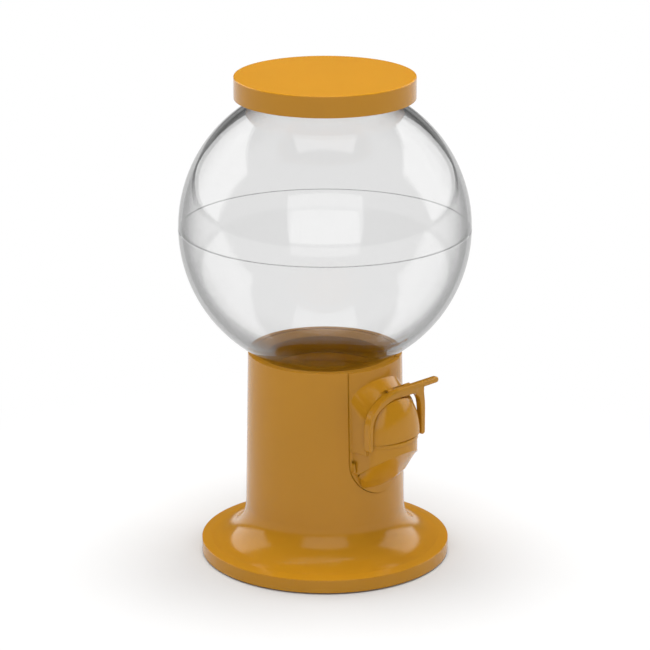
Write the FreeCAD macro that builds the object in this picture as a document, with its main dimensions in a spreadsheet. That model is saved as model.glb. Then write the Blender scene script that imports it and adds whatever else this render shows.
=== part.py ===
"""Gumball machine: a clear globe on a column with a lift-up flap over the candy tray.

Millimetres, +Z up. The origin is the middle of the footprint, on the surface that the feet stand on.
The spout and its flap face -Y.
"""

import FreeCAD, Part
import Sketcher
import math
import os

# Driving dimensions: name, value, what it is
SIZES = [
    ("foot_stand", 0.6, "height of the base rim above the surface"),
    ("foot_radius", 5.0, "radius of a rubber foot"),
    ("foot_inset", 1.0, "depth of a foot in its recess"),
    ("foot_circle", 11.5, "how far in from the flange's edge the feet's middles lie"),
    ("base_radius", 53.5, "radius of the base flange"),
    ("base_edge", 5.6, "height of the flange's upright edge"),
    ("base_rise", 0.8, "rise of the flange's top from its edge to the flare"),
    ("base_wall", 2.5, "wall of the flange and the flare"),
    ("flare_radius", 15.0, "radius of the hollow curve from column to flange"),
    ("cover_wall", 2.0, "thickness of the bottom cover"),
    ("cover_land", 1.8, "width of the ledge that the cover seats on"),
    ("screw_circle", 10.5, "how far in from the flange's edge the cover screws lie"),
    ("screw_radius", 1.2, "radius of a cover screw's shank"),
    ("screw_head", 2.4, "radius of a cover screw's head"),
    ("screw_head_depth", 1.1, "depth of a cover screw's head"),
    ("screw_length", 5.0, "length of a cover screw below its head"),
    ("boss_wall", 1.6, "wall of a screw boss"),
    ("column_radius", 33.0, "outer radius of the column at its rim"),
    ("column_foot", 1.3, "how much wider the column is above the flare than at its rim"),
    ("column_top", 90.8, "height of the column's rim"),
    ("column_wall", 2.2, "wall of the column"),
    ("ledge_drop", 7.8, "depth of the hopper's ledge below the rim"),
    ("ledge_width", 1.4, "width of the hopper's ledge"),
    ("ledge_depth", 3.0, "depth of the ledge ring"),
    ("seat_gap", 0.2, "clearance between seated pieces"),
    ("run_gap", 0.3, "clearance between moving pieces"),
    ("slot_half", 15.5, "half width of the column's front slot"),
    ("slot_round", 11.0, "depth of the middle of the slot's round end below the tray's rim"),
    ("panel_proud", 0.4, "how far the spout panel stands out of the column"),
    ("panel_border", 1.7, "width of the panel's border below the apron"),
    ("flange_wall", 1.2, "thickness of the panel's hidden side flanges"),
    ("flange_lap", 1.8, "overlap of the side flanges behind the column wall"),
    ("hopper_wall", 1.6, "wall of the hopper"),
    ("hopper_depth", 26.0, "depth of the hopper's cup below its ledge"),
    ("floor_fall", 15.0, "fall of the hopper floor from back to front"),
    ("window_half", 11.0, "half width of the hopper's window"),
    ("rim_height", 61.2, "height of the tray's rim"),
    ("tray_half", 14.2, "half width of the tray where its front starts to curve"),
    ("tray_spring", 39.4, "how far forward the tray's front starts to curve"),
    ("tray_bow", 9.2, "how far the tray's curved front bows forward"),
    ("tray_shoulder", 5.5, "radius of the tray's front corners"),
    ("tray_wall", 1.4, "wall of the tray"),
    ("lip_height", 5.1, "height of the tray's upright front below its rim"),
    ("lip_step", 0.4, "step between the tray's wall and the apron"),
    ("lip_drop", 10.5, "fall of the tray's floor from its lip to the panel"),
    ("bead_height", 1.6, "height of the bead round the tray's rim"),
    ("bead_proud", 0.3, "how far the bead stands out from the tray's wall"),
    ("hood_front", 39.2, "how far forward the hood's face lies"),
    ("hood_crown_front", 81.8, "height of the hood's crown at its face"),
    ("hood_crown_middle", 85.8, "height of the hood's crown at the panel's face"),
    ("hood_crown_back", 89.8, "height of the hood's crown inside the panel"),
    ("hood_inset_front", 0.7, "inset of the hood's sides at its face"),
    ("hood_shoulder", 11.8, "radius of the hood's shoulders"),
    ("tunnel_half", 11.5, "half width of the candy tunnel"),
    ("tunnel_crown", 78.4, "height of the candy tunnel's crown"),
    ("lever_back", 39.8, "how far forward the lever's back face lies"),
    ("lever_depth", 3.6, "depth of the lever's arch"),
    ("lever_half", 17.0, "half width of the lever's arch outside"),
    ("leg_width", 2.5, "width of a lever leg"),
    ("leg_drop", 1.7, "how far the legs reach below the tray's rim"),
    ("arch_spring", 69.1, "height where the arch starts to curve"),
    ("arch_rise", 13.0, "rise of the arch above its spring"),
    ("crown_width", 3.2, "width of the arch at its crown"),
    ("arch_shoulder", 10.5, "radius of the arch's shoulder"),
    ("arch_corner", 2.4, "inner corner radius beside the thumb tab"),
    ("tab_reach", 25.1, "how far the thumb tab reaches sideways"),
    ("tab_lift", 0.9, "how far the tab's top stands above the arch"),
    ("tab_wall", 2.0, "thickness of the thumb tab"),
    ("tab_taper", 1.4, "how far the tab narrows to its tip"),
    ("tab_tip", 1.05, "corner radius of the tab's tip"),
    ("dome_middle", 39.5, "how far forward the middle of the flap's dome lies"),
    ("dome_half", 15.1, "half width of the flap's dome"),
    ("dome_bow", 8.5, "how far the flap's dome bows forward"),
    ("dome_height", 20.8, "height of the flap's dome"),
    ("dome_wall", 1.2, "wall of the flap's dome"),
    ("dome_fit", 0.05, "clearance of the dome in the lever"),
    ("knuckle_radius", 1.1, "radius of the hinge knuckles"),
    ("hinge_middle", 4.0, "how far the hinge lies towards the thumb tab"),
    ("knuckle_half", 3.0, "half length of the hood's knuckle"),
    ("knuckle_outer", 3.7, "length of each lever knuckle"),
    ("pin_radius", 0.45, "radius of the hinge pin"),
    ("pin_fit", 0.04, "radial clearance of the hinge pin"),
    ("globe_radius", 62.0, "outer radius of the globe"),
    ("globe_middle", 0.89145, "lift of the globe above touching the column's rim"),
    ("globe_wall", 1.6, "wall of the globe"),
    ("globe_mouth", 7.4, "how far in from the column's inside the globe's lower opening lies"),
    ("globe_neck", 8.0, "length of the globe's lower neck"),
    ("filler_radius", 28.4, "radius of the globe's filling opening"),
    ("filler_top", 8.04136, "length of the filling neck outside the globe"),
    ("seam_cut", 0.25, "groove along the globe's seam"),
    ("ring_height", 3.0, "height of the globe's lock ring"),
    ("ring_wall", 1.7, "wall of the globe's lock ring"),
    ("cap_radius", 38.2, "radius of the cap"),
    ("cap_top", 1.9, "thickness of the cap's top"),
    ("cap_height", 9.2, "height of the cap"),
    ("cap_wall", 1.9, "wall of the cap's skirt"),
    ("cap_edge", 0.5, "rounding of the cap's top edge"),
    ("plug_depth", 5.0, "depth of the cap's inner ring"),
    ("plug_wall", 1.8, "wall of the cap's inner ring"),
    ("liner_wall", 0.8, "thickness of the cap's liner"),
    ("liner_width", 4.0, "width of the cap's liner"),
]

FOOT_COUNT = 4
SCREW_COUNT = 3
FULL_TURN = 360.0
HALF_TURN = 180.0
QUARTER_TURN = 90.0
FAN_ANGLE = 120.0

X_AXIS = FreeCAD.Vector(1, 0, 0)
Y_AXIS = FreeCAD.Vector(0, 1, 0)

doc = FreeCAD.newDocument("gumball_machine")
sheet = doc.addObject("Spreadsheet::Sheet", "Sizes")


class Size:
    """A length with the expression that it comes from."""

    def __init__(self, value, text):
        self.value = float(value)
        self.text = text

    def _join(self, other, sign, swap=False):
        other = as_size(other)
        left, right = (other, self) if swap else (self, other)
        results = {
            "+": left.value + right.value,
            "-": left.value - right.value,
            "*": left.value * right.value,
            "/": left.value / right.value if right.value else 0.0,
        }
        return Size(results[sign], "(%s %s %s)" % (left.text, sign, right.text))

    def __add__(self, other):
        return self._join(other, "+")

    def __radd__(self, other):
        return self._join(other, "+", True)

    def __sub__(self, other):
        return self._join(other, "-")

    def __rsub__(self, other):
        return self._join(other, "-", True)

    def __mul__(self, other):
        return self._join(other, "*")

    def __rmul__(self, other):
        return self._join(other, "*", True)

    def __truediv__(self, other):
        return self._join(other, "/")

    def __neg__(self):
        return self._join(0.0, "-", True)

    def root(self):
        return Size(math.sqrt(self.value), "sqrt(%s)" % self.text)

    def smaller(self, other):
        return Size(min(self.value, other.value), "min(%s; %s)" % (self.text, other.text))

    def angle(self):
        return Size(math.degrees(math.atan(self.value)), "atan(%s)" % self.text)


def as_size(value):
    if isinstance(value, Size):
        return value
    return Size(value, "(%.9f)" % value)


class Sizes:
    """The driving dimensions by name."""


def fill_sheet():
    sizes = Sizes()
    for row, (name, value, note) in enumerate(SIZES, 1):
        sheet.set("A%d" % row, name)
        sheet.set("B%d" % row, str(value))
        sheet.setAlias("B%d" % row, name)
        sheet.set("C%d" % row, note)
        setattr(sizes, name, Size(value, "Sizes.%s" % name))
    doc.recompute()
    return sizes


def bind(obj, prop, size):
    size = as_size(size)
    obj.setExpression(prop, size.text)


def place(obj, x=0.0, y=0.0, z=0.0, turn=None):
    """Puts an object at a point bound to the sheet, turned about an axis by an angle."""
    rotation = FreeCAD.Rotation(*turn) if turn else FreeCAD.Rotation()
    obj.Placement = FreeCAD.Placement(FreeCAD.Vector(0, 0, 0), rotation)
    for letter, size in zip("xyz", (x, y, z)):
        bind(obj, "Placement.Base.%s" % letter, size)
    return obj


def box(name, x, y, z):
    """A box between pairs of bounds."""
    obj = doc.addObject("Part::Box", name)
    for prop, (low, high) in zip(("Length", "Width", "Height"), (x, y, z)):
        bind(obj, prop, as_size(high) - low)
    return place(obj, x[0], y[0], z[0])


def cylinder(name, radius, x=0.0, y=0.0, z=(0.0, 1.0)):
    """An upright cylinder."""
    obj = doc.addObject("Part::Cylinder", name)
    bind(obj, "Radius", radius)
    bind(obj, "Height", as_size(z[1]) - z[0])
    return place(obj, x, y, z[0])


def crossbar(name, radius, x, y, z):
    """A cylinder along X between two bounds."""
    obj = doc.addObject("Part::Cylinder", name)
    bind(obj, "Radius", radius)
    bind(obj, "Height", as_size(x[1]) - x[0])
    return place(obj, x[0], y, z, (Y_AXIS, QUARTER_TURN))


def ellipsoid(name, across, forward, upright, y, z):
    obj = doc.addObject("Part::Ellipsoid", name)
    bind(obj, "Radius1", upright)
    bind(obj, "Radius2", across)
    bind(obj, "Radius3", forward)
    return place(obj, 0.0, y, z)


def cut(name, base, tool):
    obj = doc.addObject("Part::Cut", name)
    obj.Base = base
    obj.Tool = tool
    return obj


def fuse(name, *pieces):
    obj = doc.addObject("Part::MultiFuse", name)
    obj.Shapes = list(pieces)
    return obj


def common(name, *pieces):
    obj = doc.addObject("Part::MultiCommon", name)
    obj.Shapes = list(pieces)
    return obj


def new_body(name):
    return doc.addObject("PartDesign::Body", name)


def origin_plane(body, role):
    return [plane for plane in body.Origin.OriginFeatures if plane.Role == role][0]


def arc_middle(start, end, radius, side):
    """The middle of the shorter arc between two points; side 1 bulges to the left of the way there."""
    chord = end - start
    half = chord.Length / 2
    sagitta = radius - math.sqrt(max(radius ** 2 - half ** 2, 0.0))
    left = FreeCAD.Vector(-chord.y, chord.x, 0).normalize()
    return (start + end) / 2 + left * (sagitta * side)


def outline(body, name, role, corners, offset=None, raised=None, tilt=None):
    """A closed sketch. A corner is (x, y) or (x, y, radius, side) where an arc leads to the next one."""
    sketch = body.newObject("Sketcher::SketchObject", name)
    sketch.AttachmentSupport = [(origin_plane(body, role), "")]
    sketch.MapMode = "FlatFace"
    if tilt is not None:
        sketch.AttachmentOffset = FreeCAD.Placement(FreeCAD.Vector(), FreeCAD.Rotation(X_AXIS, tilt.value))
        bind(sketch, "AttachmentOffset.Rotation.Angle", tilt)
    if raised is not None:
        bind(sketch, "AttachmentOffset.Base.y", raised)
    if offset is not None:
        bind(sketch, "AttachmentOffset.Base.z", offset)
    corners = [tuple(as_size(part) for part in corner) for corner in corners]
    points = [FreeCAD.Vector(corner[0].value, corner[1].value, 0) for corner in corners]
    ends = []
    for index, corner in enumerate(corners):
        start, end = points[index], points[(index + 1) % len(points)]
        if len(corner) == 2:
            edge = sketch.addGeometry(Part.LineSegment(start, end))
        else:
            middle = arc_middle(start, end, corner[2].value, corner[3].value)
            edge = sketch.addGeometry(Part.Arc(start, middle, end))
        forward = (sketch.getPoint(edge, 1) - start).Length < (sketch.getPoint(edge, 2) - start).Length
        ends.append((edge, 1, 2) if forward else (edge, 2, 1))
    for index, (edge, first, last) in enumerate(ends):
        following, entry, _ = ends[(index + 1) % len(ends)]
        sketch.addConstraint(Sketcher.Constraint("Coincident", edge, last, following, entry))
    for (edge, first, _), corner in zip(ends, corners):
        for kind, size in zip(("DistanceX", "DistanceY"), corner):
            number = sketch.addConstraint(Sketcher.Constraint(kind, -1, 1, edge, first, size.value))
            sketch.setExpression("Constraints[%d]" % number, size.text)
        if len(corner) > 2:
            number = sketch.addConstraint(Sketcher.Constraint("Radius", edge, corner[2].value))
            sketch.setExpression("Constraints[%d]" % number, corner[2].text)
    return sketch


def revolve(name, corners):
    """A body turned about Z from a half section of (radius, height) corners."""
    body = new_body(name)
    sketch = outline(body, name + "_section", "XZ_Plane", corners)
    turned = body.newObject("PartDesign::Revolution", name + "_turned")
    turned.Profile = sketch
    turned.ReferenceAxis = (sketch, ["V_Axis"])
    turned.Angle = FULL_TURN
    body.Tip = turned
    return body


def prism(name, role, corners, length, offset=None):
    """A body padded from an outline along its plane's normal."""
    body = new_body(name)
    sketch = outline(body, name + "_outline", role, corners, offset)
    pad = body.newObject("PartDesign::Pad", name + "_pad")
    pad.Profile = sketch
    bind(pad, "Length", length)
    body.Tip = pad
    return body


def arch(half, low, spring, rise, shoulder):
    """The left half of a three-centred arch from its foot to its crown, as outline corners."""
    inset = half - shoulder
    spare = rise - shoulder
    drop = (inset * inset - spare * spare) / (2.0 * spare)
    length = (inset * inset + drop * drop).root()
    return [
        (-half, low),
        (-half, spring, shoulder, 1),
        (-inset - shoulder * inset / length, spring + shoulder * drop / length, rise + drop, 1),
        (as_size(0.0), spring + rise),
    ]


def whole_arch(half, low, spring, rise, shoulder, foot_half=None):
    """A closed arch outline with a flat bottom, which may be wider at its foot."""
    _, side, bend, crown = arch(half, low, spring, rise, shoulder)
    foot = half if foot_half is None else foot_half
    return [
        (-foot, low),
        side,
        bend,
        (crown[0], crown[1], bend[2], 1),
        (-bend[0], bend[1], side[2], 1),
        (half, spring),
        (foot, low),
    ]


def facing_front(corners):
    """The same outline seen from above, with its crown towards -Y."""
    turned = []
    for corner in corners:
        if len(corner) == 2:
            turned.append((corner[0], -corner[1]))
        else:
            turned.append((corner[0], -corner[1], corner[2], -corner[3]))
    return turned


s = fill_sheet()
nodes = {}


def keep(label, obj):
    obj.Label = label
    nodes[label] = obj


# Places that several pieces share
rim_inner = s.column_radius - s.column_wall
column_wide = s.column_radius + s.column_foot
mouth_radius = rim_inner - s.globe_mouth
flange_top = s.foot_stand + s.base_edge
flare_start = flange_top + s.base_rise
ledge_top = s.column_top - s.ledge_drop
cover_radius = s.base_radius - s.base_wall
flare = s.flare_radius.smaller(cover_radius - column_wide)
slot_middle = s.rim_height - s.slot_round
panel_half = s.slot_half - s.seat_gap
panel_inner = rim_inner - s.ledge_width - s.run_gap + s.seat_gap
flange_outer = panel_inner + s.flange_wall
hopper_outer = panel_inner - s.run_gap - s.seat_gap
hopper_inner = hopper_outer - s.hopper_wall
hopper_bottom = ledge_top - s.hopper_depth
lever_front = s.lever_back + s.lever_depth
leg_inner = s.lever_half - s.leg_width
arch_top = s.arch_spring + s.arch_rise
hinge_y = -(s.lever_back - s.seat_gap)
hinge_z = arch_top + s.tab_lift - s.knuckle_radius - s.seat_gap * 0.5
flap_bottom = s.rim_height + s.seat_gap
tray_front = s.tray_spring + s.tray_bow
neck_outer = mouth_radius + s.globe_wall
seat_radius = s.globe_radius + s.seat_gap * 0.5
filler_outer = s.filler_radius + s.globe_wall
touch_rise = (s.globe_radius * s.globe_radius - rim_inner * rim_inner).root()
globe_height = s.column_top + touch_rise + s.globe_middle


def height_on_globe(radius, sphere, up):
    """The height where a sphere round the globe's middle has a given radius."""
    rise = (sphere * sphere - as_size(radius) * radius).root()
    return globe_height + rise if up else globe_height - rise


filler_edge = height_on_globe(filler_outer, s.globe_radius, True) + s.filler_top
cap_ceiling = filler_edge + s.seat_gap + s.liner_wall
cap_crown = cap_ceiling + s.cap_top
cap_bottom = cap_crown - s.cap_height


def ring_points(count, radius, start_angle):
    """Points evenly spaced on a circle, as pairs of sizes."""
    points = []
    for index in range(count):
        angle = math.radians(start_angle + FULL_TURN * index / count)
        points.append((radius * math.cos(angle), radius * math.sin(angle)))
    return points


foot_points = ring_points(FOOT_COUNT, s.base_radius - s.foot_circle, 45.0)
screw_points = ring_points(SCREW_COUNT, s.base_radius - s.screw_circle, 90.0)


def make_column():
    """The column and its base in one moulding, with the ledge for the hopper and the front slot."""
    flare_end = flare_start + flare
    out = column_wide + flare
    inner_bend = flare + s.base_wall
    land_top = s.foot_stand + s.cover_wall
    body = revolve("column_turning", [
        (s.base_radius, s.foot_stand),
        (s.base_radius, flange_top),
        (out, flare_start, flare, 1),
        (column_wide, flare_end),
        (s.column_radius, s.column_top),
        (rim_inner, s.column_top),
        (rim_inner, ledge_top),
        (rim_inner - s.ledge_width, ledge_top),
        (rim_inner - s.ledge_width, ledge_top - s.ledge_depth),
        (rim_inner, ledge_top - s.ledge_depth - s.ledge_width),
        (column_wide - s.base_wall, flare_end, inner_bend, -1),
        (out, flare_start - s.base_wall),
        (cover_radius - s.cover_land, flare_start - s.base_wall - s.seat_gap),
        (cover_radius - s.cover_land, land_top),
        (cover_radius, land_top),
        (cover_radius, s.foot_stand),
    ])
    slot = slot_prism("slot", s.slot_half, s.column_top + s.column_wall, slot_middle)
    shell = cut("column_slotted", body, slot)
    bosses = []
    bores = []
    for index, (x, y) in enumerate(screw_points, 1):
        heights = (land_top, flare_start)
        bosses.append(cylinder("boss_%d" % index, s.screw_radius + s.boss_wall, x, y, heights))
        depth = land_top + s.screw_length - s.cover_wall + s.screw_head_depth
        bores.append(cylinder("boss_bore_%d" % index, s.screw_radius + s.pin_fit, x, y, (land_top, depth)))
    bossed = fuse("column_bossed", shell, *bosses)
    keep("base_column", cut("column_bored", bossed, fuse("boss_bores", *bores)))


def make_cover():
    """The bottom cover with recesses for its feet and holes for its screws, and those pieces."""
    top = s.foot_stand + s.cover_wall
    disc = cylinder("cover_disc", cover_radius - s.seat_gap, z=(s.foot_stand, top))
    recess_top = s.foot_stand + s.foot_inset
    holes = []
    for index, (x, y) in enumerate(foot_points, 1):
        recess = (s.foot_stand, recess_top)
        holes.append(cylinder("foot_recess_%d" % index, s.foot_radius + s.seat_gap, x, y, recess))
        foot = cylinder("foot_pad_%d" % index, s.foot_radius, x, y, (0.0, recess_top))
        keep("foot_%d" % index, foot)
    head_top = s.foot_stand + s.screw_head_depth
    for index, (x, y) in enumerate(screw_points, 1):
        sink = (s.foot_stand, head_top)
        holes.append(cylinder("head_sink_%d" % index, s.screw_head + s.seat_gap, x, y, sink))
        through = (s.foot_stand, top)
        holes.append(cylinder("shank_hole_%d" % index, s.screw_radius + s.seat_gap, x, y, through))
        head = cylinder("screw_cap_%d" % index, s.screw_head, x, y, sink)
        reach = (head_top, head_top + s.screw_length - s.cover_wall)
        shank = cylinder("screw_shank_%d" % index, s.screw_radius, x, y, reach)
        keep("cover_screw_%d" % index, fuse("screw_%d" % index, head, shank))
    keep("bottom_cover", cut("cover_holed", disc, fuse("cover_holes", *holes)))


def make_hopper():
    """The hopper: a seat for the globe, a cup below it and a floor that falls to the window."""
    rim = s.column_top - s.seat_gap * 2.0
    flange = rim_inner - s.seat_gap
    throat = neck_outer + s.run_gap
    seat_outer = (seat_radius * seat_radius - (globe_height - rim) * (globe_height - rim)).root()
    solid = revolve("hopper_turning", [
        (as_size(0.0), hopper_bottom),
        (hopper_outer, hopper_bottom),
        (hopper_outer, ledge_top),
        (flange, ledge_top),
        (flange, rim),
        (seat_outer, rim, seat_radius, 1),
        (throat, height_on_globe(throat, seat_radius, False)),
        (throat, ledge_top),
        (as_size(0.0), ledge_top),
    ])
    front_floor = hopper_bottom + s.hopper_wall
    slope = doc.addObject("Part::Wedge", "hopper_slope")
    bounds = {
        "Xmin": -hopper_inner, "Xmax": hopper_inner, "X2min": -hopper_inner, "X2max": hopper_inner,
        "Ymin": -hopper_inner, "Ymax": hopper_inner,
        "Zmin": front_floor, "Zmax": ledge_top, "Z2min": front_floor + s.floor_fall, "Z2max": ledge_top,
    }
    for prop, size in bounds.items():
        bind(slope, prop, size)
    bore = cylinder("hopper_bore", hopper_inner, z=(hopper_bottom, ledge_top))
    room = common("hopper_room", slope, bore)
    throat_hole = cylinder("hopper_throat", throat, z=(ledge_top - s.hopper_wall, s.column_top))
    window = box("hopper_window", (-s.window_half, s.window_half), (-rim_inner, -hopper_inner / 2.0),
                 (front_floor + s.hopper_wall, s.tunnel_crown - s.hopper_wall))
    keep("candy_hopper", cut("hopper", solid, fuse("hopper_hollow", room, throat_hole, window)))


def make_globe():
    """The two halves of the clear globe, which meet at a seam, and the ring that locks its neck."""
    inner = s.globe_radius - s.globe_wall
    middle = globe_height
    groove = s.globe_radius - s.seam_cut
    neck_bottom = height_on_globe(mouth_radius, inner, False) - s.globe_neck
    lower = revolve("globe_lower_turning", [
        (inner, middle),
        (groove, middle),
        (s.globe_radius, middle - s.seam_cut, s.globe_radius, 1),
        (neck_outer, height_on_globe(neck_outer, s.globe_radius, False)),
        (neck_outer, neck_bottom),
        (mouth_radius, neck_bottom),
        (mouth_radius, height_on_globe(mouth_radius, inner, False), inner, -1),
    ])
    keep("globe_lower", lower)
    upper = revolve("globe_upper_turning", [
        (inner, middle, inner, -1),
        (s.filler_radius, height_on_globe(s.filler_radius, inner, True)),
        (s.filler_radius, filler_edge),
        (filler_outer, filler_edge),
        (filler_outer, height_on_globe(filler_outer, s.globe_radius, True), s.globe_radius, 1),
        (s.globe_radius, middle + s.seam_cut),
        (groove, middle),
    ])
    keep("globe_upper", upper)
    ring_top = ledge_top - s.hopper_wall - s.seat_gap
    hole = neck_outer + s.pin_fit
    ring = revolve("lock_ring_turning", [
        (hole, ring_top - s.ring_height),
        (hole + s.ring_wall, ring_top - s.ring_height),
        (hole + s.ring_wall, ring_top),
        (hole, ring_top),
    ])
    keep("globe_lock_ring", ring)


def make_cap():
    """The lift-off cap with its inner ring, and the liner that rests on the filling opening."""
    plug_outer = s.filler_radius - s.run_gap
    skirt = s.cap_radius - s.cap_wall
    cap = revolve("cap_turning", [
        (as_size(0.0), cap_crown),
        (s.cap_radius - s.cap_edge, cap_crown, s.cap_edge, 1),
        (s.cap_radius, cap_crown - s.cap_edge),
        (s.cap_radius, cap_bottom),
        (skirt, cap_bottom),
        (skirt, cap_ceiling),
        (plug_outer, cap_ceiling),
        (plug_outer, cap_ceiling - s.plug_depth),
        (plug_outer - s.plug_wall, cap_ceiling - s.plug_depth),
        (plug_outer - s.plug_wall, cap_ceiling),
        (as_size(0.0), cap_ceiling),
    ])
    keep("cap", cap)
    liner_inner = plug_outer + s.seat_gap
    liner = revolve("liner_turning", [
        (liner_inner, cap_ceiling - s.liner_wall),
        (liner_inner + s.liner_width, cap_ceiling - s.liner_wall),
        (liner_inner + s.liner_width, cap_ceiling),
        (liner_inner, cap_ceiling),
    ])
    keep("cap_liner", liner)


def tray_prism(name, inset, low, high):
    """A prism of the tray's plan, inset all round."""
    corners = whole_arch(
        s.tray_half - inset, panel_inner - s.slot_half, s.tray_spring, s.tray_bow - inset,
        s.tray_shoulder - inset, panel_half - inset)
    return prism(name, "XY_Plane", facing_front(corners), high - low, low)


def make_panel():
    """The spout panel: a plate in the column's slot with a hood, a candy tunnel and a tray."""
    wide = (-s.slot_half * 2.0, s.slot_half * 2.0)
    hood_space = s.knuckle_radius + s.run_gap
    groove = crossbar("hood_groove", hood_space, wide, hinge_y, hinge_z)
    hood = cut("hood_grooved", panel_hood(), groove)
    tray, floor_side = panel_tray()
    knuckle_x = (s.hinge_middle - s.knuckle_half, s.hinge_middle + s.knuckle_half)
    knuckle = crossbar("hood_knuckle", s.knuckle_radius, knuckle_x, hinge_y, hinge_z)
    web = box("hood_web", knuckle_x, (hinge_y, -(panel_inner + s.panel_proud)),
              (hinge_z - s.knuckle_radius * 2.0, hinge_z))
    solid = fuse("panel_solid", panel_plate(), hood, tray, knuckle, web)

    core = cylinder("panel_core", panel_inner, z=(0.0, s.column_top * 2.0))
    relief = cylinder("panel_relief", rim_inner + s.seat_gap, z=(ledge_top - s.run_gap, s.column_top * 2.0))
    tunnel = prism("tunnel", "XZ_Plane", whole_arch(
        s.tunnel_half, s.rim_height - s.lip_height, s.arch_spring, s.tunnel_crown - s.arch_spring,
        s.tunnel_half / 2.0), s.tray_spring)
    room_inset = s.tray_wall + s.bead_proud
    room_plan = tray_prism("tray_room_plan", room_inset, slot_middle - panel_half, s.column_top)
    low_limit = box("tray_room_limit", wide, (-tray_front, -(s.column_radius + s.panel_proud)),
                    (0.0, s.rim_height - s.tray_wall))
    mouth = box("tray_room_mouth", wide, (-tray_front, -s.hood_front), (0.0, s.column_top))
    room = common("tray_room", room_plan, fuse("tray_room_reach", low_limit, mouth), floor_side)
    pin_hole = crossbar("hood_pin_hole", s.pin_radius + s.pin_fit, wide, hinge_y, hinge_z)
    keep("spout_panel", cut("panel", solid, fuse("panel_hollow", core, relief, tunnel, room, pin_hole)))


def panel_tray():
    """The tray below the flap with its bead and its apron, and the space above its sloping floor."""
    lip_z = s.rim_height - s.lip_height
    back = s.column_radius
    nose = tray_front - s.bead_proud
    run = nose - back
    floor_back = lip_z - s.lip_drop
    half = panel_half - s.bead_proud
    wide = s.slot_half * 2.0
    floor_side = prism("tray_floor_side", "YZ_Plane", [
        (-nose - run, lip_z + s.lip_drop),
        (-back, floor_back),
        (as_size(0.0), floor_back),
        (as_size(0.0), s.column_top * 2.0),
        (-nose - run, s.column_top * 2.0),
    ], wide * 2.0, -wide)
    wall = tray_prism("tray_wall_solid", s.bead_proud, slot_middle - panel_half, s.rim_height)
    bead = tray_prism("tray_bead", as_size(0.0), s.rim_height - s.bead_height, s.rim_height)
    bounds = slot_prism("tray_bounds", panel_half, s.column_top, slot_middle + s.panel_border)
    upper = common("tray_upper", fuse("tray_beaded", wall, bead), bounds, floor_side)

    # The apron narrows from the lip to the panel's round end, on planes that fan out from the floor's back
    body = new_body("apron")
    stretch = (run * run + s.lip_drop * s.lip_drop).root() / run
    round_z = slot_middle + s.panel_border
    low = round_z - half
    across, down = nose - back, lip_z - low
    fan_y, fan_z = math.sin(math.radians(FAN_ANGLE)), math.cos(math.radians(FAN_ANGLE))
    fan_length = (run * down - s.lip_drop * across) / (fan_y * down - fan_z * across)
    foot_length = floor_back - low
    chord = (half * half - (round_z - floor_back) * (round_z - floor_back)).root()
    start = s.tray_wall * 0.5
    stations = [
        ("apron_lip", (run / s.lip_drop).angle(), whole_arch(
            s.tray_half - s.bead_proud - s.lip_step, s.tray_wall, (s.tray_spring - back) * stretch,
            (s.tray_bow - s.bead_proud - s.lip_step) * stretch, s.tray_shoulder)),
        ("apron_middle", as_size(FAN_ANGLE), whole_arch(
            chord, start, s.tray_wall, fan_length - s.tray_wall, (fan_length - s.tray_wall) * 0.8)),
        ("apron_foot", as_size(HALF_TURN), whole_arch(
            chord - s.tray_wall, start, s.tray_wall * 1.5, foot_length - s.tray_wall * 1.5,
            foot_length - s.tray_wall * 2.5, chord)),
    ]
    sections = []
    for name, tilt, corners in stations:
        sections.append(outline(body, name, "XZ_Plane", corners, back, floor_back, tilt))
    loft = body.newObject("PartDesign::AdditiveLoft", "apron_loft")
    loft.Profile = sections[0]
    loft.Sections = sections[1:]
    loft.Ruled = True
    body.Tip = loft
    plinth = slot_prism("apron_plinth", half, floor_back + s.tray_wall, round_z, back)
    return fuse("tray", upper, body, plinth), floor_side


def panel_plate():
    """The plate that fills the slot, with flanges behind the column's wall."""
    taper = s.column_foot / (s.column_top - flare_start - flare)
    skin = doc.addObject("Part::Cone", "panel_skin")
    bind(skin, "Radius1", s.column_radius + s.panel_proud + taper * s.column_top)
    bind(skin, "Radius2", s.column_radius + s.panel_proud)
    bind(skin, "Height", s.column_top)
    front = slot_prism("panel_front", panel_half, s.column_top - s.seat_gap, slot_middle)
    wings = slot_prism("panel_wings", s.slot_half + s.flange_lap,
                       ledge_top - s.ledge_depth - s.ledge_width - s.run_gap, slot_middle)
    wing_skin = cylinder("wing_skin", flange_outer, z=(0.0, s.column_top))
    return fuse("panel_plate", common("panel_face", skin, front), common("panel_flange", wings, wing_skin))


def slot_prism(name, half, top, middle, length=None):
    """A prism of the slot's outline, with a round lower end, from the axis to the front."""
    return prism(name, "XZ_Plane", [
        (-half, middle, half * 1.0001, -1),
        (half, middle),
        (half, top),
        (-half, top),
    ], s.base_radius if length is None else length)


def panel_hood():
    """The hood round the candy tunnel, which narrows from the panel to its face."""
    low = s.rim_height - s.lip_height
    rise = s.hood_crown_front - s.arch_spring
    body = new_body("hood")
    stations = [
        ("hood_back", panel_inner - s.panel_proud, s.hood_crown_back, s.seat_gap),
        ("hood_middle", s.column_radius + s.panel_proud, s.hood_crown_middle, s.hood_inset_front * 0.5),
        ("hood_face", s.hood_front, s.hood_crown_front, s.hood_inset_front),
    ]
    sections = []
    for name, forward, crown, inset in stations:
        corners = whole_arch(panel_half - inset, low, crown - rise, rise, s.hood_shoulder)
        sections.append(outline(body, name, "XZ_Plane", corners, forward))
    loft = body.newObject("PartDesign::AdditiveLoft", "hood_loft")
    loft.Profile = sections[0]
    loft.Sections = sections[1:]
    body.Tip = loft
    return body


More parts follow.
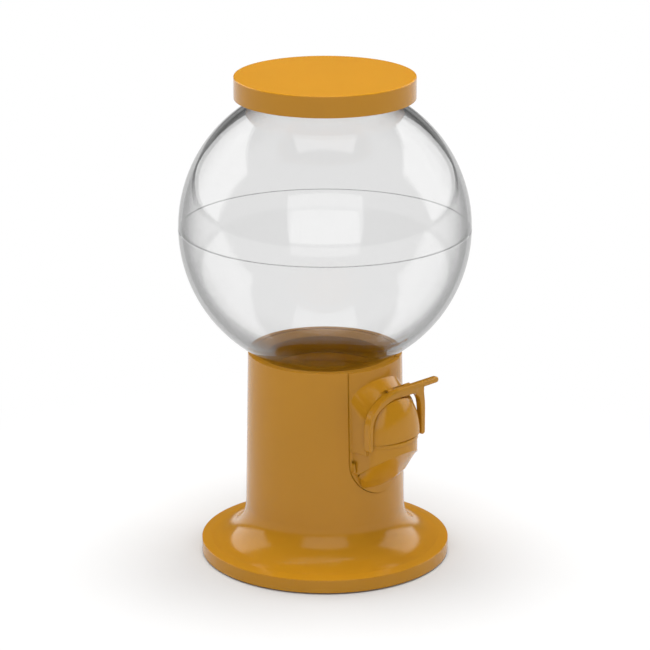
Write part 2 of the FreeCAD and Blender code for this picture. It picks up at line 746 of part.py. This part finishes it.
def make_flap():
    """The lift-up flap: a dome over the tray, the lever that frames it and the hinge pin."""
    low = s.rim_height - s.leg_drop
    outside = arch(s.lever_half, low, s.arch_spring, s.arch_rise, s.arch_shoulder)
    inner_rise = s.arch_rise - s.crown_width
    inner_shoulder = s.arch_shoulder - s.leg_width
    inside = arch(leg_inner, low, s.arch_spring, inner_rise, inner_shoulder)
    crown_inner = inside[3][1]
    toe = s.leg_width * 0.62
    frame = prism("lever_arch", "XZ_Plane", [
        outside[0],
        outside[1],
        outside[2],
        outside[3],
        (s.lever_half, arch_top),
        (s.lever_half, low, toe, 1),
        (leg_inner, low),
        (leg_inner, crown_inner - s.arch_corner, s.arch_corner, -1),
        (leg_inner - s.arch_corner, crown_inner),
        (as_size(0.0), crown_inner, inside[2][2], -1),
        (inside[2][0], inside[2][1], inside[1][2], -1),
        (-leg_inner, s.arch_spring),
        (-leg_inner, low, toe, 1),
    ], s.lever_depth, s.lever_back)
    tip_back = -s.lever_back
    tip_front = -lever_front + s.tab_taper
    tab = prism("thumb_tab", "XY_Plane", [
        (-s.crown_width, tip_back),
        (s.tab_reach - s.tab_tip, tip_back, s.tab_tip * 1.05, 1),
        (s.tab_reach, tip_back - s.tab_tip),
        (s.tab_reach, tip_front + s.tab_tip, s.tab_tip * 1.05, 1),
        (s.tab_reach - s.tab_tip, tip_front),
        (leg_inner, -lever_front),
        (-s.crown_width, -lever_front),
    ], s.tab_wall, arch_top + s.tab_lift - s.tab_wall)
    middle = s.hinge_middle
    near = s.knuckle_half + s.seat_gap
    far = near + s.knuckle_outer
    barrels = [
        crossbar("lever_knuckle_left", s.knuckle_radius, (middle - far, middle - near), hinge_y, hinge_z),
        crossbar("lever_knuckle_right", s.knuckle_radius, (middle + near, middle + far), hinge_y, hinge_z),
    ]
    solid = fuse("lever_solid", frame, tab, *barrels)
    clear_x = (middle - near, middle + near)
    clear = crossbar("lever_clear", s.knuckle_radius + s.run_gap, clear_x, hinge_y, hinge_z)
    pin_x = (middle - far, middle + far)
    pin_hole = crossbar("lever_pin_hole", s.pin_radius + s.pin_fit, pin_x, hinge_y, hinge_z)
    keep("flap_lever", cut("lever", solid, fuse("lever_hollow", clear, pin_hole)))
    keep("hinge_pin", crossbar("pin", s.pin_radius, pin_x, hinge_y, hinge_z))

    # The dome is an ellipsoid that fits inside the lever's arch
    halves = []
    for name, inset in (("dome_outside", as_size(0.0)), ("dome_inside", s.dome_wall)):
        egg = ellipsoid(name + "_egg", s.dome_half - inset, s.dome_bow - inset, s.dome_height - inset,
                        -s.dome_middle, flap_bottom)
        gap = s.dome_fit + inset
        limit = prism(name + "_limit", "XZ_Plane", whole_arch(
            leg_inner - gap, flap_bottom - inset, s.arch_spring, inner_rise - gap, inner_shoulder - gap),
            s.base_radius, s.lever_back - inset)
        halves.append(common(name, egg, limit))
    keep("flap_dome", cut("dome", *halves))


def check_and_write():
    doc.recompute()
    faults = [obj.Name for obj in doc.Objects if "Invalid" in obj.State or "Error" in obj.State]
    if faults:
        raise RuntimeError("failed: " + ", ".join(faults))
    os.makedirs("parts", exist_ok=True)
    for label, obj in nodes.items():
        shape = obj.Shape
        if shape.isNull() or not shape.isValid() or not shape.Solids:
            raise RuntimeError("bad shape: " + label)
    for label, obj in nodes.items():
        obj.Shape.exportStep("parts/%s.step" % label)
        solids = obj.Shape.Solids
        print("%-16s solids %d volume %9.1f" % (label, len(solids), obj.Shape.Volume))


make_column()
make_cover()
make_hopper()
make_globe()
make_cap()
make_panel()
make_flap()
check_and_write()
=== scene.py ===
"""Looks of the gumball machine: glossy plastic, a clear globe, three soft boxes and a white floor."""

import math

import bmesh
import bpy
from mathutils import Matrix, Vector


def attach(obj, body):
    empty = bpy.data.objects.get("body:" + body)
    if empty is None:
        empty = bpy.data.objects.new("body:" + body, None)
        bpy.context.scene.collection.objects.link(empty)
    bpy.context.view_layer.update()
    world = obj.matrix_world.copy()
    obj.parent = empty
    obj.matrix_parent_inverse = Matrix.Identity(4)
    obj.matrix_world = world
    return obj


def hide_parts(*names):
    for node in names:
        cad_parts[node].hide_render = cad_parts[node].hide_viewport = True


MM = 0.001

# Camera, found from the photograph's ellipses
TARGET = Vector((0.0, 0.0, 101.84 * MM))
DISTANCE = 1285.2 * MM
AZIMUTH = math.radians(-45.0)
PITCH = math.radians(17.52)
FIELD = math.radians(12.314)

# The lever: depths of its arch, right leg and thumb tab, then their outlines from the front in millimetres
LEVER_BACK = -39.8 * MM
LEVER_FRONT = -43.4 * MM
LEG_FRONT = -43.35 * MM
LEG_BACK = -40.2 * MM
TAB_FRONT = -43.3 * MM
TAB_BACK = -40.6 * MM
ARCH_FOOT = 59.6
ARCH_SPRING = 69.1
ARCH_END = 12.0
ARCH_STEPS = 10
OUTER_ARCH = (17.0, 13.0, 10.5)
INNER_ARCH = (14.5, 9.8, 8.0)
ARCH_TOE = ((-14.9, 59.25), (-15.75, 59.0), (-16.6, 59.25))
LEG_OUTLINE = (
    (17.0, 60.6), (17.0, 66.0), (17.0, 71.0), (16.85, 74.0), (16.5, 76.5), (16.25, 78.5), (16.3, 80.2),
    (16.6, 81.6), (8.0, 81.6), (8.0, 79.2), (9.6, 79.0), (11.2, 78.4), (12.6, 77.2), (13.6, 75.4),
    (14.2, 73.0), (14.5, 70.0), (14.6, 66.0), (14.6, 60.6), (14.8, 59.9), (15.2, 59.5), (15.8, 59.35),
    (16.4, 59.5), (16.8, 59.9),
)
TAB_OUTLINE = (
    (-6.5, 79.6), (-6.5, 80.9), (-5.0, 81.62), (-3.0, 82.3), (-1.0, 82.75), (1.0, 82.97), (3.0, 83.03),
    (14.0, 83.0), (24.0, 83.0), (24.55, 82.9), (24.9, 82.55), (25.1, 82.0), (25.1, 81.4), (24.9, 80.9),
    (24.5, 80.6), (24.0, 80.5), (16.0, 80.4), (8.0, 79.6),
)
HINGE = (-39.6 * MM, 81.8 * MM)
BARREL_RADIUS = 1.1 * MM
BARRELS = ((-2.9 * MM, 0.8 * MM), (7.2 * MM, 10.9 * MM))
LEVER_ROUNDING = 0.6 * MM

# The moulded plastic's two tones and the rounding of its edges
ORANGE_DEEP = (0.455, 0.204, 0.010, 1.0)
ORANGE_PALE = (0.480, 0.217, 0.011, 1.0)
EDGE_WIDTH = 0.5 * MM

# The clear plastic's index, and how much of the view it lets through from its middle to its rim
GLOBE_INDEX = 1.40
GLOBE_CLEAR = (
    (0.0, 0.945), (0.3, 0.945), (0.45, 0.93), (0.55, 0.89), (0.68, 0.78), (0.86, 0.45), (1.0, 0.15),
)

# Lights: soft boxes with their azimuth from the camera's side and how bright they are, and two above
AIM = (0.0, 0.0, 0.12)
BOXES = (("box_front", 0.0, 1.8), ("box_left", -120.0, 2.2), ("box_right", 120.0, 2.2))
BOX_DISTANCE = 1.76
BOX_HEIGHT = 0.84
BOX_SIZE = (2.1, 1.35)
TOP_BRIGHT = 1.5
TOP_PLACE = (180.0, 0.1, 1.3)
TOP_SIZE = (0.8, 0.8)
CEILING_BRIGHT = 9.0
CEILING_PLACE = (0.0, 0.0, 1.5)
CEILING_SIZE = (1.0, 1.0)
ROOM_BRIGHT = 0.08

# The floor's half width, its grey under the machine, and where it turns to white
FLOOR_REACH = 6.0
FLOOR_GREY = (0.60, 0.60, 0.60, 1.0)
FADE_START = 0.07
FADE_END = 0.24
WHITE = (1.0, 1.0, 1.0, 1.0)

# Nodes by material
PLASTIC_NODES = (
    "base_column", "bottom_cover", "candy_hopper", "spout_panel",
    "flap_dome", "globe_lock_ring", "cap",
)
GLOBE_NODES = ("globe_lower", "globe_upper")
STEEL_NODES = ("cover_screw_1", "cover_screw_2", "cover_screw_3", "hinge_pin")
RUBBER_NODES = ("foot_1", "foot_2", "foot_3", "foot_4")
FOAM_NODES = ("cap_liner",)


def new_material(name):
    material = bpy.data.materials.new(name)
    material.use_nodes = True
    material.node_tree.nodes.clear()
    return material, material.node_tree.nodes, material.node_tree.links


def add_noise(nodes, links, scale, detail, low, high):
    """A noise in object space, brought between two values."""
    place = nodes.new("ShaderNodeTexCoord")
    noise = nodes.new("ShaderNodeTexNoise")
    noise.inputs["Scale"].default_value = scale
    noise.inputs["Detail"].default_value = detail
    links.new(place.outputs["Object"], noise.inputs["Vector"])
    spread = nodes.new("ShaderNodeMapRange")
    spread.inputs["From Min"].default_value = 0.3
    spread.inputs["From Max"].default_value = 0.7
    spread.inputs["To Min"].default_value = low
    spread.inputs["To Max"].default_value = high
    links.new(noise.outputs["Fac"], spread.inputs["Value"])
    return noise, spread.outputs["Result"]


def add_bump(nodes, links, height, strength, distance):
    bump = nodes.new("ShaderNodeBump")
    bump.inputs["Strength"].default_value = strength
    bump.inputs["Distance"].default_value = distance
    links.new(height, bump.inputs["Height"])
    return bump.outputs["Normal"]


def fill_ramp(ramp, steps):
    """Grey tones along a colour ramp."""
    while len(ramp.elements) < len(steps):
        ramp.elements.new(1.0)
    for element, (position, tone) in zip(ramp.elements, steps):
        element.position = position
        element.color = (tone, tone, tone, 1.0)


def plastic():
    """Moulded orange plastic: a deep gloss with a slight flow and wear in it."""
    material, nodes, links = new_material("body_plastic")
    shader = nodes.new("ShaderNodeBsdfPrincipled")
    output = nodes.new("ShaderNodeOutputMaterial")
    flow, tone = add_noise(nodes, links, 18.0, 3.0, 0.0, 1.0)
    colour = nodes.new("ShaderNodeMix")
    colour.data_type = "RGBA"
    colour.inputs["A"].default_value = ORANGE_DEEP
    colour.inputs["B"].default_value = ORANGE_PALE
    links.new(tone, colour.inputs["Factor"])
    links.new(colour.outputs["Result"], shader.inputs["Base Color"])
    _, rough = add_noise(nodes, links, 60.0, 4.0, 0.13, 0.19)
    links.new(rough, shader.inputs["Roughness"])
    fine, _ = add_noise(nodes, links, 900.0, 2.0, 0.0, 1.0)
    grain = add_bump(nodes, links, fine.outputs["Fac"], 0.03, 0.02 * MM)
    soft = nodes.new("ShaderNodeBevel")
    soft.samples = 6
    soft.inputs["Radius"].default_value = EDGE_WIDTH
    links.new(grain, soft.inputs["Normal"])
    links.new(soft.outputs["Normal"], shader.inputs["Normal"])
    shader.inputs["IOR"].default_value = 1.47
    shader.inputs["Specular IOR Level"].default_value = 0.32
    shader.inputs["Subsurface Weight"].default_value = 0.06
    shader.inputs["Subsurface Radius"].default_value = (0.004, 0.002, 0.0005)
    shader.inputs["Subsurface Scale"].default_value = 1.0
    links.new(shader.outputs["BSDF"], output.inputs["Surface"])
    return material


def clear_globe():
    """Clear thin plastic: it lets the view through, dims it at the rim and mirrors the soft boxes."""
    material, nodes, links = new_material("clear_globe")
    output = nodes.new("ShaderNodeOutputMaterial")
    facing = nodes.new("ShaderNodeLayerWeight")
    facing.inputs["Blend"].default_value = 0.5
    dim = nodes.new("ShaderNodeValToRGB")
    fill_ramp(dim.color_ramp, GLOBE_CLEAR)
    links.new(facing.outputs["Facing"], dim.inputs["Fac"])
    through = nodes.new("ShaderNodeBsdfTransparent")
    links.new(dim.outputs["Color"], through.inputs["Color"])
    mirror = nodes.new("ShaderNodeBsdfAnisotropic")
    mirror.inputs["Color"].default_value = WHITE
    _, rough = add_noise(nodes, links, 30.0, 3.0, 0.05, 0.09)
    links.new(rough, mirror.inputs["Roughness"])

    # Both sides of the thin wall mirror alike, so the index is turned over on the way out
    side = nodes.new("ShaderNodeNewGeometry")
    index = nodes.new("ShaderNodeMapRange")
    index.inputs["To Min"].default_value = GLOBE_INDEX
    index.inputs["To Max"].default_value = 1.0 / GLOBE_INDEX
    links.new(side.outputs["Backfacing"], index.inputs["Value"])
    fresnel = nodes.new("ShaderNodeFresnel")
    links.new(index.outputs["Result"], fresnel.inputs["IOR"])
    blend = nodes.new("ShaderNodeMixShader")
    links.new(fresnel.outputs["Fac"], blend.inputs["Fac"])
    links.new(through.outputs["BSDF"], blend.inputs[1])
    links.new(mirror.outputs["BSDF"], blend.inputs[2])
    links.new(blend.outputs["Shader"], output.inputs["Surface"])
    return material


def steel():
    """Plain steel with a slightly uneven roughness."""
    material, nodes, links = new_material("screw_steel")
    shader = nodes.new("ShaderNodeBsdfPrincipled")
    output = nodes.new("ShaderNodeOutputMaterial")
    shader.inputs["Base Color"].default_value = (0.55, 0.55, 0.57, 1.0)
    shader.inputs["Metallic"].default_value = 1.0
    _, rough = add_noise(nodes, links, 700.0, 4.0, 0.25, 0.42)
    links.new(rough, shader.inputs["Roughness"])
    links.new(shader.outputs["BSDF"], output.inputs["Surface"])
    return material


def rubber():
    """Dark matte rubber with a fine grain."""
    material, nodes, links = new_material("foot_rubber")
    shader = nodes.new("ShaderNodeBsdfPrincipled")
    output = nodes.new("ShaderNodeOutputMaterial")
    shader.inputs["Base Color"].default_value = (0.03, 0.03, 0.03, 1.0)
    grain, rough = add_noise(nodes, links, 1500.0, 3.0, 0.7, 0.9)
    links.new(rough, shader.inputs["Roughness"])
    links.new(add_bump(nodes, links, grain.outputs["Fac"], 0.3, 0.05 * MM), shader.inputs["Normal"])
    links.new(shader.outputs["BSDF"], output.inputs["Surface"])
    return material


def foam():
    """A pale foam liner with small cells."""
    material, nodes, links = new_material("liner_foam")
    shader = nodes.new("ShaderNodeBsdfPrincipled")
    output = nodes.new("ShaderNodeOutputMaterial")
    shader.inputs["Base Color"].default_value = (0.72, 0.70, 0.64, 1.0)
    shader.inputs["Roughness"].default_value = 0.9
    place = nodes.new("ShaderNodeTexCoord")
    cells = nodes.new("ShaderNodeTexVoronoi")
    cells.inputs["Scale"].default_value = 1800.0
    links.new(place.outputs["Object"], cells.inputs["Vector"])
    links.new(add_bump(nodes, links, cells.outputs["Distance"], 0.5, 0.1 * MM), shader.inputs["Normal"])
    links.new(shader.outputs["BSDF"], output.inputs["Surface"])
    return material


def dress(node, material):
    node.data.materials.clear()
    node.data.materials.append(material)


def dress_frame(nodes):
    orange = plastic()
    for name in PLASTIC_NODES:
        dress(nodes[name], orange)
    flap_lever(orange)
    glass = clear_globe()
    for name in GLOBE_NODES:
        dress(nodes[name], glass)
    for names, material in ((STEEL_NODES, steel()), (RUBBER_NODES, rubber()), (FOAM_NODES, foam())):
        for name in names:
            dress(nodes[name], material)


def half_arch(half, rise, shoulder, count):
    """The left half of a three-centred arch, from its spring to its crown."""
    inset = half - shoulder
    spare = rise - shoulder
    drop = (inset ** 2 - spare ** 2) / (2.0 * spare)
    turn = math.pi - math.atan2(drop, inset)
    points = []
    for step in range(count + 1):
        angle = math.pi + (turn - math.pi) * step / count
        points.append((-inset + shoulder * math.cos(angle), ARCH_SPRING + shoulder * math.sin(angle)))
    for step in range(1, count + 1):
        angle = turn + (math.pi / 2.0 - turn) * step / count
        points.append(((rise + drop) * math.cos(angle), ARCH_SPRING - drop + (rise + drop) * math.sin(angle)))
    return points


def add_prism(shape, first, last):
    """A prism between two closed loops of points."""
    near, far = [[shape.verts.new(point) for point in loop] for loop in (first, last)]
    shape.faces.new(near)
    shape.faces.new(far)
    for index in range(len(near)):
        following = (index + 1) % len(near)
        shape.faces.new((near[index], near[following], far[following], far[index]))


def upright_prism(shape, outline, front, back):
    """A prism of an outline in X and Z, between two depths."""
    add_prism(shape, *[[(x * MM, depth, z * MM) for x, z in outline] for depth in (front, back)])


def flap_lever(material):
    """The flap's lever with soft edges: an arch, a slimmer leg, a thumb tab and its hinge barrels."""
    shape = bmesh.new()
    outside = half_arch(*OUTER_ARCH, ARCH_STEPS)
    inside = half_arch(*INNER_ARCH, ARCH_STEPS)
    arch = [(-OUTER_ARCH[0], ARCH_FOOT), *outside]
    arch += [(ARCH_END, outside[-1][1]), (ARCH_END, inside[-1][1])]
    arch += [*reversed(inside), (-INNER_ARCH[0], ARCH_FOOT), *ARCH_TOE]
    upright_prism(shape, arch, LEVER_FRONT, LEVER_BACK)
    upright_prism(shape, LEG_OUTLINE, LEG_FRONT, LEG_BACK)
    upright_prism(shape, TAB_OUTLINE, TAB_FRONT, TAB_BACK)
    for low, high in BARRELS:
        centre = Vector(((low + high) / 2.0, HINGE[0], HINGE[1]))
        lie = Matrix.Translation(centre) @ Matrix.Rotation(math.pi / 2.0, 4, "Y")
        bmesh.ops.create_cone(shape, cap_ends=True, segments=32, radius1=BARREL_RADIUS, radius2=BARREL_RADIUS,
                              depth=high - low, matrix=lie)
    bmesh.ops.recalc_face_normals(shape, faces=shape.faces)
    mesh = bpy.data.meshes.new("lever")
    shape.to_mesh(mesh)
    shape.free()
    for polygon in mesh.polygons:
        polygon.use_smooth = True
    mesh.materials.append(material)
    lever = bpy.data.objects.new("lever", mesh)
    bpy.context.scene.collection.objects.link(lever)
    rounding = lever.modifiers.new("rounding", "BEVEL")
    rounding.width = LEVER_ROUNDING
    rounding.segments = 4
    rounding.limit_method = "ANGLE"
    rounding.angle_limit = math.radians(40.0)
    rounding.harden_normals = True
    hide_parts("flap_lever")
    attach(lever, "flap")


def soft_box(name, place, size, bright):
    """A soft box that points at the machine; its power follows from its size and how bright it is."""
    light = bpy.data.lights.new(name, "AREA")
    light.shape = "RECTANGLE"
    light.size, light.size_y = size
    light.energy = bright * math.pi * size[0] * size[1]
    lamp = bpy.data.objects.new(name, light)
    lamp.location = place
    lamp.rotation_euler = (Vector(AIM) - Vector(place)).to_track_quat("-Z", "Y").to_euler()
    bpy.context.scene.collection.objects.link(lamp)
    return lamp


def around(azimuth, distance, height):
    """A place round the machine: azimuth 0 is on the camera's side, positive to its right."""
    angle = AZIMUTH + math.radians(azimuth)
    return Vector((distance * math.sin(angle), -distance * math.cos(angle), height))


def light_scene():
    """Three soft boxes round the machine, one above it, and an even light from the ceiling."""
    for name, azimuth, bright in BOXES:
        soft_box(name, around(azimuth, BOX_DISTANCE, BOX_HEIGHT), BOX_SIZE, bright)
    soft_box("box_top", around(*TOP_PLACE), TOP_SIZE, TOP_BRIGHT)
    ceiling = soft_box("ceiling", CEILING_PLACE, CEILING_SIZE, CEILING_BRIGHT)
    ceiling.visible_glossy = False

    # The room round the boxes is dim
    world = bpy.data.worlds.new("studio")
    world.use_nodes = True
    room = world.node_tree.nodes["Background"]
    room.inputs["Color"].default_value = WHITE
    room.inputs["Strength"].default_value = ROOM_BRIGHT
    bpy.context.scene.world = world


def white_floor():
    """A white floor that fills the view and keeps the machine's shadow."""
    reach = FLOOR_REACH
    mesh = bpy.data.meshes.new("floor")
    corners = [(-reach, -reach, 0.0), (reach, -reach, 0.0), (reach, reach, 0.0), (-reach, reach, 0.0)]
    mesh.from_pydata(corners, [], [(0, 1, 2, 3)])
    floor = bpy.data.objects.new("floor", mesh)
    bpy.context.scene.collection.objects.link(floor)
    material, nodes, links = new_material("floor_white")
    matte = nodes.new("ShaderNodeBsdfDiffuse")
    matte.inputs["Color"].default_value = FLOOR_GREY
    white = nodes.new("ShaderNodeEmission")
    white.inputs["Color"].default_value = WHITE
    white.inputs["Strength"].default_value = 1.0

    # Away from the machine the floor turns to plain white for the camera, mirrors and clear plastic
    place = nodes.new("ShaderNodeTexCoord")
    away = nodes.new("ShaderNodeVectorMath")
    away.operation = "LENGTH"
    links.new(place.outputs["Object"], away.inputs[0])
    fade = nodes.new("ShaderNodeMapRange")
    fade.interpolation_type = "SMOOTHSTEP"
    fade.inputs["From Min"].default_value = FADE_START
    fade.inputs["From Max"].default_value = FADE_END
    links.new(away.outputs["Value"], fade.inputs["Value"])
    path = nodes.new("ShaderNodeLightPath")
    seen = path.outputs["Is Camera Ray"]
    for ray in ("Is Glossy Ray", "Is Transmission Ray"):
        either = nodes.new("ShaderNodeMath")
        either.operation = "MAXIMUM"
        links.new(seen, either.inputs[0])
        links.new(path.outputs[ray], either.inputs[1])
        seen = either.outputs["Value"]
    share = nodes.new("ShaderNodeMath")
    share.operation = "MULTIPLY"
    links.new(seen, share.inputs[0])
    links.new(fade.outputs["Result"], share.inputs[1])
    blend = nodes.new("ShaderNodeMixShader")
    output = nodes.new("ShaderNodeOutputMaterial")
    links.new(share.outputs["Value"], blend.inputs["Fac"])
    links.new(matte.outputs["BSDF"], blend.inputs[1])
    links.new(white.outputs["Emission"], blend.inputs[2])
    links.new(blend.outputs["Shader"], output.inputs["Surface"])
    mesh.materials.append(material)


def photo_camera():
    camera = bpy.data.cameras.new("photo_camera")
    camera.angle = FIELD
    camera.clip_start = 0.01
    camera.clip_end = 50.0
    eye = bpy.data.objects.new("photo_camera", camera)
    level = math.cos(PITCH)
    away = Vector((level * math.sin(AZIMUTH), -level * math.cos(AZIMUTH), math.sin(PITCH)))
    eye.location = TARGET + away * DISTANCE
    eye.rotation_euler = (-away).to_track_quat("-Z", "Y").to_euler()
    bpy.context.scene.collection.objects.link(eye)
    bpy.context.scene.camera = eye


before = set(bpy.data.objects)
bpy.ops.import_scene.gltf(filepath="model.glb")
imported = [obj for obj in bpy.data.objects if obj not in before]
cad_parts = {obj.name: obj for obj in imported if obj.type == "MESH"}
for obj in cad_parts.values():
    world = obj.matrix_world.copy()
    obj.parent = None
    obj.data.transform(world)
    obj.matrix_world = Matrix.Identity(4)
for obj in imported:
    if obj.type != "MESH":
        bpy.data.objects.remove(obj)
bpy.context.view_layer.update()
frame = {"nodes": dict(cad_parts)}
dress_frame(frame["nodes"])
white_floor()
light_scene()
photo_camera()
bpy.context.scene.view_settings.view_transform = "Standard"
